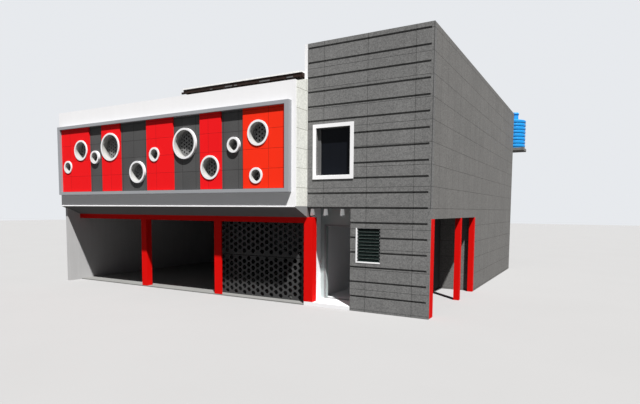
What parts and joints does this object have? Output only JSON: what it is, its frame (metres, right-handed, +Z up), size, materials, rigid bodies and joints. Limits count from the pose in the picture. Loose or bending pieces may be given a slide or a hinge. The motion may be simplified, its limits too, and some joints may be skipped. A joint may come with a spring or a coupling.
{
  "type": "fire station building",
  "caption": "Fire station with open engine bays under a striped facade box with porthole tubes, a grooved entrance tower and a water tank behind it.",
  "frame": {"origin": "middle of the footprint, on the ground", "axes": "X along the front towards the tower, Y from the front to the rear, Z up"},
  "size_m": [17.31, 17.81, 8.99],
  "materials": {
    "red_paint": "painted concrete, satin",
    "red_tile": "red facade tiles, satin",
    "grey_tile": "dark grey facade tiles, satin",
    "orange_tile": "orange-red facade tiles, satin",
    "tray_panel": "light grey panels, satin",
    "white_paint": "smooth white painted render",
    "cream_block": "painted block courses",
    "grooved_concrete": "grey facing with cut grooves",
    "plain_concrete": "plain grey facing slabs",
    "plain_render": "light grey render",
    "dark_render": "dark grey render",
    "dark_screen": "dark grey coated screen",
    "floor_concrete": "trowelled concrete",
    "brown_boards": "dark stained boards",
    "white_sheet": "white coated roof sheet",
    "grey_frame": "grey powder coat",
    "pale_metal": "pale lamp shades",
    "dark_glass": "dark tinted glass",
    "blue_plastic": "moulded blue plastic"
  },
  "bodies": {
    "root": {"left_wall_lower": "plain_render", "left_wall_upper": "white_paint", "bay_floor": "floor_concrete", "red_columns": "red_paint", "red_beam": "red_paint", "bay_screen_lower": "dark_screen", "bay_screen_upper": "dark_screen", "wing_floor_slab": "dark_render", "cantilever_slab": "dark_render", "facade_wall": "white_paint", "box_return_wall": "cream_block", "panel_tray": "tray_panel", "red_panels": "red_tile", "grey_panels": "grey_tile", "orange_panel": "orange_tile", "porthole_tubes": "white_paint", "porthole_screens": "dark_screen", "wing_rear_wall": "plain_render", "wing_roof": "floor_concrete", "raised_roof_walls": "cream_block", "raised_roof_boards": "brown_boards", "raised_roof": "white_sheet", "tower_left_wall_lower": "dark_render", "tower_left_wall_upper": "white_paint", "tower_front_lower": "grooved_concrete", "tower_front_upper": "grooved_concrete", "tower_right_upper": "plain_concrete", "porch_columns": "red_paint", "porch_back_wall": "dark_render", "tower_right_lower": "plain_render", "tower_ground_floor": "floor_concrete", "tower_floor_slab": "dark_render", "tower_rear_wall": "plain_concrete", "tower_roof": "floor_concrete", "entrance_floor": "white_paint", "entrance_wall": "dark_render", "entrance_side_wall": "dark_render", "door_frame": "grey_frame", "downlights": "pale_metal", "window_frame": "white_paint", "window_glass": "dark_glass", "louvre_frame": "white_paint", "louvre_blades": "dark_glass", "tank_platform": "plain_concrete", "water_tank": "blue_plastic"}
  },
  "joints": []
}
